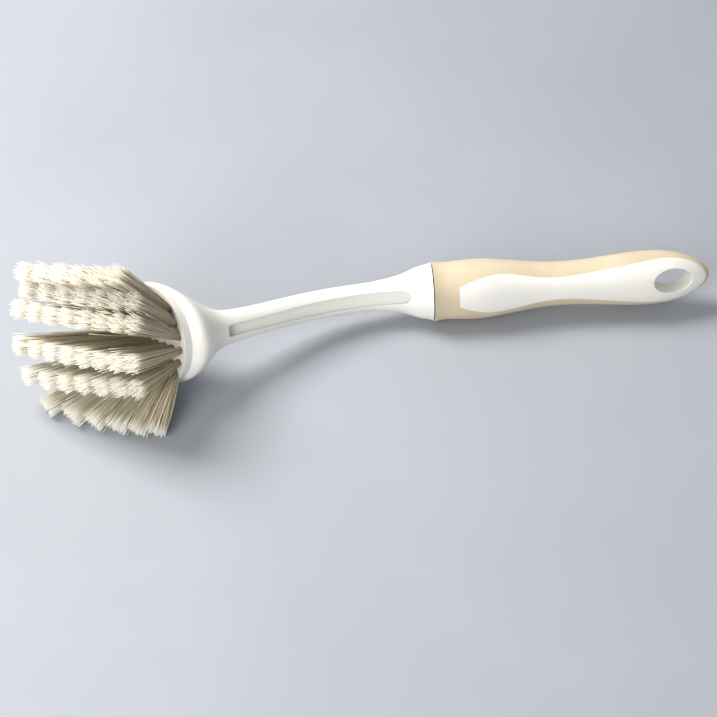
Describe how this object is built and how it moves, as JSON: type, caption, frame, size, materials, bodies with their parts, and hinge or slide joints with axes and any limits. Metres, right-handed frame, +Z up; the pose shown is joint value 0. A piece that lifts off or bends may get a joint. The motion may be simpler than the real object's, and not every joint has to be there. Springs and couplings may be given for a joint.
{
  "type": "scrubbing brush",
  "caption": "Long-handled scrubbing brush with a round tilted head of fanned bristle tufts, a curved white neck and a soft-sided handle with an oval hanging hole.",
  "frame": {"origin": "centre of the bounding box's bottom face: the brush lies on its side on the surface z = 0", "axes": "+X runs along the brush from the bristles to the hanging end, +Z is up off the surface it lies on, and the window and bristle face look towards -Y and a little up"},
  "size_m": [0.2754, 0.0766, 0.071],
  "materials": {
    "white_plastic": "satin moulded polypropylene",
    "grip_rubber": "matte soft-touch",
    "bristle": "cream translucent filament",
    "anchor_wire": "cut wire strip"
  },
  "bodies": {
    "root": {"handle_core": "white_plastic", "grip_overmould": "grip_rubber", "head_and_neck": "white_plastic", "tuft_row1_1": "bristle", "tuft_row1_2": "bristle", "tuft_row1_3": "bristle", "tuft_row1_4": "bristle", "tuft_row1_5": "bristle", "tuft_row1_6": "bristle", "anchors_row1": "anchor_wire", "tuft_row2_1": "bristle", "tuft_row2_2": "bristle", "tuft_row2_3": "bristle", "tuft_row2_4": "bristle", "tuft_row2_5": "bristle", "tuft_row2_6": "bristle", "tuft_row2_7": "bristle", "anchors_row2": "anchor_wire", "tuft_row3_1": "bristle", "tuft_row3_2": "bristle", "tuft_row3_3": "bristle", "tuft_row3_4": "bristle", "tuft_row3_5": "bristle", "tuft_row3_6": "bristle", "tuft_row3_7": "bristle", "tuft_row3_8": "bristle", "anchors_row3": "anchor_wire", "tuft_row4_1": "bristle", "tuft_row4_2": "bristle", "tuft_row4_3": "bristle", "tuft_row4_4": "bristle", "tuft_row4_5": "bristle", "tuft_row4_6": "bristle", "tuft_row4_7": "bristle", "tuft_row4_8": "bristle", "anchors_row4": "anchor_wire", "tuft_row5_1": "bristle", "tuft_row5_2": "bristle", "tuft_row5_3": "bristle", "tuft_row5_4": "bristle", "tuft_row5_5": "bristle", "tuft_row5_6": "bristle", "tuft_row5_7": "bristle", "anchors_row5": "anchor_wire", "tuft_row6_1": "bristle", "tuft_row6_2": "bristle", "tuft_row6_3": "bristle", "tuft_row6_4": "bristle", "tuft_row6_5": "bristle", "tuft_row6_6": "bristle", "anchors_row6": "anchor_wire"}
  },
  "joints": []
}
